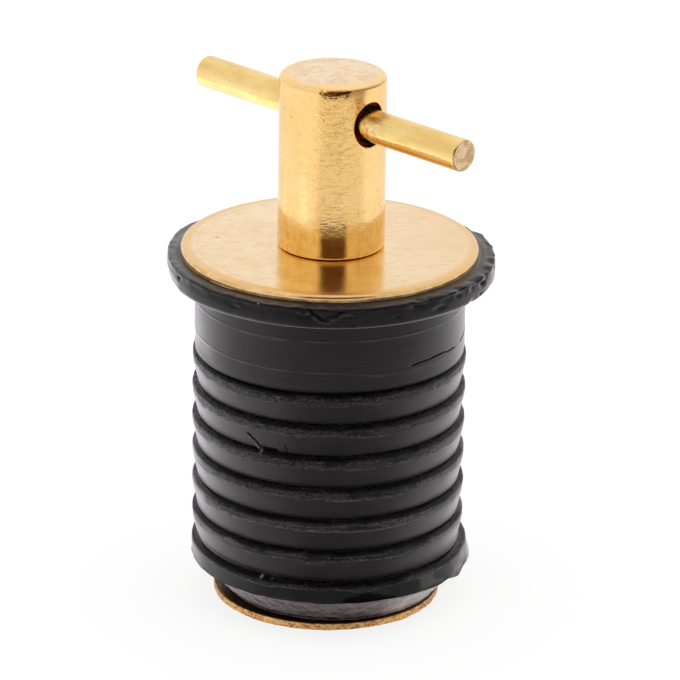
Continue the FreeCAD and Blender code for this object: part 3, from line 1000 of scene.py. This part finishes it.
def cross_bar():
    """Drawn rod with turned end faces."""
    low, high = extent("cross_bar")
    half = high[0]
    axis = (low[2] + high[2]) / 2
    edge = 0.3
    face = np.linspace(0.06, bar_radius - edge, 22)
    rings = 0.022 * np.sin(face * 2 * math.pi / 0.26) - 0.06 * np.exp(-((face / 0.16) ** 2))
    end_x = half - 0.03 + rings
    corner = bend((half - edge - 0.03, bar_radius - edge), edge, 90, 0, 7)[::-1]
    right = np.concatenate([
        np.stack([end_x, face], -1),
        corner[:, :2],
    ])
    body = stretch((half - edge - 0.05, bar_radius), (-half + edge + 0.05, bar_radius), 90)
    left = right[::-1] * (-1, 1)
    profile = np.concatenate([right, body, left])
    count = 96
    angle = np.radians(even_bearings(count))[None, :]
    radius = profile[:, 1:] + 0 * angle
    x = profile[:, :1] + 0 * angle
    points = np.stack([x, radius * np.cos(angle), radius * np.sin(angle)], -1)
    radius = radius - (radius > 1.3) * 0.012 * np.abs(random_field(points, (2.0, 0.5, 0.5), 71))
    rows = np.stack([x, radius * np.cos(angle), axis + radius * np.sin(angle)], -1)
    skin = Skin()
    index = skin.add_grid(rows)
    skin.add_tip(index[0], (profile[0, 0] - 0.01, 0, axis), flip=True)
    skin.add_tip(index[-1], (-profile[0, 0] + 0.01, 0, axis))
    return skin.make("handle_bar", bar_brass(), "handle", ["cross_bar"])


def post_side(post_radius, low_edge, high_edge, hole_height):
    """One half of the post's side with its hole: rows from the hole's edge out to a rectangle."""
    half_width = math.pi / 2 * post_radius
    across, up = 96, 64
    right = stretch((half_width, low_edge), (half_width, high_edge), up)
    over = stretch((half_width, high_edge), (-half_width, high_edge), across)
    left = stretch((-half_width, high_edge), (-half_width, low_edge), up)
    under = stretch((-half_width, low_edge), (half_width, low_edge), across)
    border = np.concatenate([right, over, left, under])
    angle = np.arctan2(border[:, 1] - hole_height, border[:, 0])
    mouth = hole_radius + hole_mouth_bevel
    inner_y = hole_narrowing * mouth * np.cos(angle)
    inner = np.stack([post_radius * np.arcsin(inner_y / post_radius), hole_height + mouth * np.sin(angle)], -1)
    share = (np.linspace(0, 1, 48) ** 1.15)[:, None, None]
    flat = inner[None] * (1 - share) + border[None] * share
    return angle, flat


def post_relief(points):
    """Depth of the wrinkled texture and of a few dents on the post's side."""
    wrinkle = random_field(points, (0.9, 0.9, 0.3), 81) + 0.5 * random_field(points, (0.4, 0.4, 0.16), 82)
    return 0.006 * wrinkle + 0.012 * random_field(points, 3.5, 83)


def bearing_of(points):
    """Bearing of each point round the axis."""
    angle = np.degrees(np.arctan2(points[..., 1], points[..., 0])) + 90 - camera_azimuth
    return (angle + 180) % 360 - 180


def scuff_depth(points, start, end, half_width):
    """Be 1 along a line on the top face, given by its ends as steps to picture right and away."""
    right, up, back = picture_axes()
    ahead = np.array([-right[1], right[0], 0])
    start, end = (right * across + ahead * away for across, away in (start, end))
    along = end - start
    share = np.clip(((points - start) @ (along * (1, 1, 0))) / (along @ along), 0, 1)
    gap = points - start - share[..., None] * along
    return bump_at(np.hypot(gap[..., 0], gap[..., 1]), 0.0, half_width)


def handle_post():
    """Turned post: crossed by the bar's hole, punched and slightly mushroomed at its top."""
    low, high = extent("handle_post")
    bar_low, bar_high = extent("cross_bar")
    foot, top = low[2], high[2]
    post_radius = high[0]
    hole_height = (bar_low[2] + bar_high[2]) / 2
    low_edge, high_edge = foot + 0.9, hole_height + 2.55
    angle, flat = post_side(post_radius, low_edge, high_edge, hole_height)
    skin = Skin()
    for side in (1, -1):
        turn = flat[..., 0] / post_radius
        rows = np.stack([post_radius * np.cos(turn), post_radius * np.sin(turn), flat[..., 1]], -1)
        rows[..., 0] *= side
        fade = smooth_step(flat[..., 1], low_edge, low_edge + 0.5)
        fade = fade * (1 - smooth_step(flat[..., 1], high_edge - 0.5, high_edge))
        relief = fade * post_relief(rows)
        rows[..., :2] *= (1 + relief / post_radius)[..., None]
        skin.add_grid(rows, flip=side < 0)
        tunnel = []
        for radius, depth in ((hole_radius + hole_mouth_bevel, 0), (hole_radius + 0.05, 0.05), (hole_radius, 0.16)):
            y = hole_narrowing * radius * np.cos(angle)
            x = np.sqrt(post_radius**2 - y**2) - depth
            tunnel.append(np.stack([x, y, hole_height + radius * np.sin(angle)], -1))
        surface_x = tunnel[-1][:, 0]
        for share in np.linspace(0, 1, 8)[1:]:
            x = surface_x * (1 - share) + grip_half_length * share
            tunnel.append(np.stack([x, tunnel[2][:, 1], tunnel[2][:, 2]], -1))
        for radius, narrowing in ((1.9, 0.91), (1.7, 0.96), (bar_radius, 1)):
            y, z = narrowing * radius * np.cos(angle), hole_height + radius * np.sin(angle)
            tunnel.append(np.stack([np.full_like(y, grip_half_length), y, z], -1))
        tunnel.append(np.stack([np.zeros_like(y), y, z], -1))
        tunnel = np.array(tunnel)
        tunnel[0] = rows[0] * (side, 1, 1)
        tunnel[..., 0] *= side
        skin.add_grid(tunnel, flip=side > 0)

    # Rim and top face: plain roundover at picture left, hammered lip with a crease at the right
    segments = 192
    turn = np.arange(segments) * 2 * math.pi / segments - math.pi / 2
    ring = np.stack([np.cos(turn), np.sin(turn)], -1)
    bearings = bearing_of(np.stack([ring[:, 0], ring[:, 1], 0 * turn], -1))[None, :]
    lip = window(bearings, -8, 78, 5)
    tall = smooth_step(bearings, 22, -2)
    share = np.linspace(0, 1, 8)[:, None]
    slope_start = top - 0.36 - 0.5 * tall
    under_lip = top - 0.2 - 0.1 * smooth_step(bearings, 0, -9)
    groove = (0.3 + 0.28 * tall) * (under_lip - slope_start)
    lip_height = np.concatenate([
        high_edge + 0 * lip,
        slope_start + (under_lip - slope_start) * share,
        under_lip + np.array([[0.05], [0.25], [0.5], [0.8], [0.95], [1.0]]) * (top - under_lip),
    ])
    lip_radius = np.concatenate([
        post_radius + 0 * lip,
        post_radius - groove * share,
        post_radius + np.array([[0.0], [0.025], [0.02], [-0.02], [-0.1], [-0.3]]) + 0 * lip,
    ])
    curl = np.radians(np.linspace(0, 90, 14))[:, None]
    plain_height = np.concatenate([[[high_edge]], top - 0.6 + 0.6 * np.sin(curl)]) + 0 * lip
    plain_radius = np.concatenate([[[post_radius]], post_radius - 0.6 + 0.6 * np.cos(curl)]) + 0 * lip
    radius = plain_radius * (1 - lip) + lip_radius * lip
    height = plain_height * (1 - lip) + lip_height * lip
    rim = np.concatenate([radius[..., None] * ring[None], height[..., None]], -1)
    start = rim[0].copy()
    noise = 0.025 * random_field(rim, (0.8, 0.8, 0.5), 84) * smooth_step(height - high_edge, 0.3, 0.9)
    rim[..., :2] *= (1 + noise / post_radius)[..., None]
    rim[0] = start
    edge_radius = np.hypot(rim[-1, :, 0], rim[-1, :, 1])
    shares = np.linspace(1, 0.02, 44)[1:, None]
    face = np.concatenate([(shares * edge_radius)[..., None] * ring[None], top + 0 * shares[..., None] * ring[None, :, :1]], -1)
    for half_turn in (0, 180):
        centre = math.radians(punch_turn + half_turn)
        apart = np.hypot(face[..., 0] - punch_offset * math.cos(centre), face[..., 1] - punch_offset * math.sin(centre))
        ball = np.sqrt(np.clip(punch_radius**2 - apart**2, 0, None))
        face[..., 2] -= np.clip(ball - punch_radius + punch_depth, 0, None)
    face[..., 2] -= 0.02 * np.abs(random_field(face, (1.4, 1.4, 1), 85)) * smooth_step(shares, 1.0, 0.9)
    for scuff in face_scuffs:
        face[..., 2] -= 0.035 * scuff_depth(face, *scuff)
    index = skin.add_grid(np.concatenate([rim, face]))
    skin.add_tip(index[-1], (0, 0, top - 0.01))

    # Foot, and the tapped hole that the stud runs in
    bore = 3.15
    bore_top = foot + 9.3
    foot_profile = np.array([
        (post_radius, low_edge), (post_radius, foot + 0.45), (post_radius, foot + 0.24),
        (post_radius - 0.05, foot + 0.14), (post_radius - 0.2, foot + 0.04), (post_radius - 0.45, foot),
        (bore + 0.5, foot),
        (bore, foot + 0.5), (bore, foot + 4.0), (bore, bore_top), (0.4, bore_top + 1.7),
    ])
    foot_rows = np.concatenate([
        foot_profile[:, None, :1] * ring[None],
        foot_profile[:, None, 1:] + 0 * ring[None, :, :1],
    ], -1)
    index = skin.add_grid(foot_rows, flip=True)
    skin.add_tip(index[-1], (0, 0, bore_top + 1.9), flip=True)
    points = np.concatenate(skin.points)
    # Painted shade: the hole's walls, a dark lens in the crease under the hammered lip, and more shade towards the
    # bottom inside the hole; the blotch above the hole is a stain
    from_axis = np.hypot(points[:, 1], points[:, 2] - hole_height)
    from_side = post_radius - np.hypot(points[:, 0], points[:, 1])
    inside = (from_axis < hole_radius + 0.03) * (from_side > 0.03)
    place_round = bearing_of(points)
    lens_top = top + np.interp(place_round, crease_bearings, crease_tops)
    lens_foot = lens_top - np.interp(place_round, crease_bearings, crease_depths)
    lens = window(points[:, 2], lens_foot, lens_top, 0.07) * window(place_round, -11, 80, 3)
    blotch = bump_at(place_round, 30, 9) * bump_at(points[:, 2], top - 1.1, 0.8)
    shade_and_stain = np.clip(0.8 * lens + 0.5 * blotch, 0, 1) * (np.hypot(points[:, 0], points[:, 1]) > 4.3)
    shade_and_stain = np.maximum(shade_and_stain, 0.8 * inside * smooth_step(points[:, 2], hole_height + 0.6, hole_height - 0.4))
    wrinkled = 0.12 + 0.88 * window(place_round, -12, 30, 12)
    marks = {"hole_shade": inside.astype(float), "shade_and_stain": shade_and_stain, "wrinkled": wrinkled}
    return skin.make("post", post_brass(), "handle", ["handle_post"], 40, marks)


# Light, floor and camera


def picture_axes():
    """The camera's right, up and backward directions before its roll."""
    azimuth, elevation = math.radians(camera_azimuth), math.radians(camera_elevation)
    right = np.array([math.cos(azimuth), math.sin(azimuth), 0])
    flat = math.cos(elevation)
    back = np.array([math.sin(azimuth) * flat, -math.cos(azimuth) * flat, math.sin(elevation)])
    return right, np.cross(back, right), back


def make_camera():
    """Place the camera at the photograph's viewpoint."""
    from mathutils import Matrix
    right, up, back = picture_axes()
    roll = math.radians(camera_roll)
    rolled_right = math.cos(roll) * right + math.sin(roll) * up
    rolled_up = math.cos(roll) * up - math.sin(roll) * right
    target = right * target_across + np.array([0, 0, target_height])
    place = (target + back * camera_distance) * MM
    camera = bpy.data.objects.new("camera", bpy.data.cameras.new("camera"))
    bpy.context.scene.collection.objects.link(camera)
    camera.data.lens = camera_lens
    camera.data.sensor_width = camera_sensor
    camera.data.clip_start = 0.01
    camera.data.clip_end = 20.0
    matrix = Matrix.Identity(4)
    for column, axis in enumerate((rolled_right, rolled_up, back, place)):
        for row in range(3):
            matrix[row][column] = axis[row]
    camera.matrix_world = matrix
    bpy.context.scene.camera = camera


def make_world():
    """Soft studio: bright sides, back and top, a dim front and a dark gap where the camera stands."""
    world = bpy.data.worlds.new("studio")
    bpy.context.scene.world = world
    world.use_nodes = True
    world.node_tree.nodes.clear()
    nodes = Nodes(world.node_tree)
    right, up, back = picture_axes()
    ahead_axis = (right[1], -right[0], 0)
    direction = nodes.add("ShaderNodeTexCoord").outputs["Generated"]
    ahead = nodes.add("ShaderNodeVectorMath", {0: direction, 1: ahead_axis}, operation="DOT_PRODUCT")
    across = nodes.add("ShaderNodeVectorMath", {0: direction, 1: tuple(right)}, operation="DOT_PRODUCT")
    height = nodes.add("ShaderNodeSeparateXYZ", {0: direction}).outputs["Z"]
    azimuth = nodes.math("ARCTAN2", across.outputs[1], ahead.outputs[1])
    azimuth = nodes.math("DEGREES", azimuth)
    elevation = nodes.math("DEGREES", nodes.math("ARCSINE", height))
    away = nodes.math("ABSOLUTE", azimuth)

    def span(value, start, end, soft):
        rising = nodes.ramp(value, start - soft, start)
        return nodes.math("MULTIPLY", rising, nodes.ramp(value, end, end + soft, 1.0, 0.0))

    sides = nodes.ramp(elevation, -6.0, 8.0, side_level, upper_side_level)
    level = nodes.blend(nodes.ramp(away, 100.0, 150.0), sides, back_level)
    level = nodes.blend(nodes.ramp(elevation, 45.0, 65.0), level, top_level)
    low_front = nodes.math("MULTIPLY", span(azimuth, -24.0, 62.0, 26.0), nodes.ramp(elevation, 2.0, 8.0, 1.0, 0.0))
    steep = nodes.ramp(elevation, -62.0, -24.0, 0.25, front_low_level)
    level = nodes.blend(low_front, level, steep)
    right_upper = nodes.math("MULTIPLY", span(azimuth, 52.0, 92.0, 22.0), span(elevation, 8.0, 34.0, 8.0))
    level = nodes.blend(right_upper, level, right_upper_level)
    camera_zone = nodes.math("MULTIPLY", span(azimuth, -19.0, 29.0, 9.0), span(elevation, 9.0, 42.0, 6.0))
    white = nodes.add("ShaderNodeCombineColor", {0: level, 1: level, 2: level}).outputs[0]
    light = nodes.mix(camera_zone, white, colour(*camera_zone_tint))
    seen = nodes.add("ShaderNodeLightPath").outputs["Is Camera Ray"]
    light = nodes.mix(seen, light, colour(1, 1, 1))
    background = nodes.add("ShaderNodeBackground", {"Color": light, "Strength": 1.0})
    nodes.add("ShaderNodeOutputWorld", {"Surface": background.outputs[0]})


def make_low_light():
    """Soft light lying on the floor at picture left, which brightens that side of the rubber."""
    right, up, back = picture_axes()
    near, far = low_light_reach
    lamp = bpy.data.lights.new("low_light", "AREA")
    lamp.shape = "RECTANGLE"
    lamp.size = (far - near) * MM
    lamp.size_y = low_light_width * MM
    lamp.energy = low_light_radiance * math.pi * lamp.size * lamp.size_y
    light = bpy.data.objects.new("low_light", lamp)
    bpy.context.scene.collection.objects.link(light)
    place = -right * (near + far) / 2 * MM
    light.location = (place[0], place[1], 0.0002)
    light.rotation_euler = (math.pi, 0, math.atan2(right[1], right[0]))


def make_floor():
    """Pale floor: white to the camera, with the plug's soft shadow, and clear from below."""
    half = 0.6
    mesh = bpy.data.meshes.new("floor")
    corners = [(-half, -half, 0), (half, -half, 0), (half, half, 0), (-half, half, 0)]
    mesh.from_pydata(corners, [], [(0, 1, 2, 3)])
    floor = bpy.data.objects.new("floor", mesh)
    bpy.context.scene.collection.objects.link(floor)
    floor.location.z = -0.00002
    floor.visible_glossy = False
    shader = Shader("floor")
    nodes, links = shader.tree.nodes, shader.tree.links
    nodes.remove(shader.surface)
    diffuse = shader.add("ShaderNodeBsdfDiffuse", {"Color": (floor_albedo,) * 3 + (1,)}).outputs[0]
    glow = shader.add("ShaderNodeEmission", {"Color": (1, 1, 1, 1), "Strength": floor_glow}).outputs[0]
    both = shader.add("ShaderNodeAddShader", {0: diffuse, 1: glow}).outputs[0]
    clear = shader.add("ShaderNodeBsdfTransparent").outputs[0]
    behind = shader.add("ShaderNodeNewGeometry").outputs["Backfacing"]
    surface = shader.add("ShaderNodeMixShader", {0: behind, 1: both, 2: clear}).outputs[0]
    links.new(surface, nodes["Material Output"].inputs["Surface"])
    mesh.materials.append(shader.material)


rubber_plug()
top_washer()
bottom_plate()
threaded_stud()
cross_bar()
handle_post()
make_world()
make_low_light()
make_floor()
make_camera()
bpy.context.scene.view_settings.view_transform = "Standard"
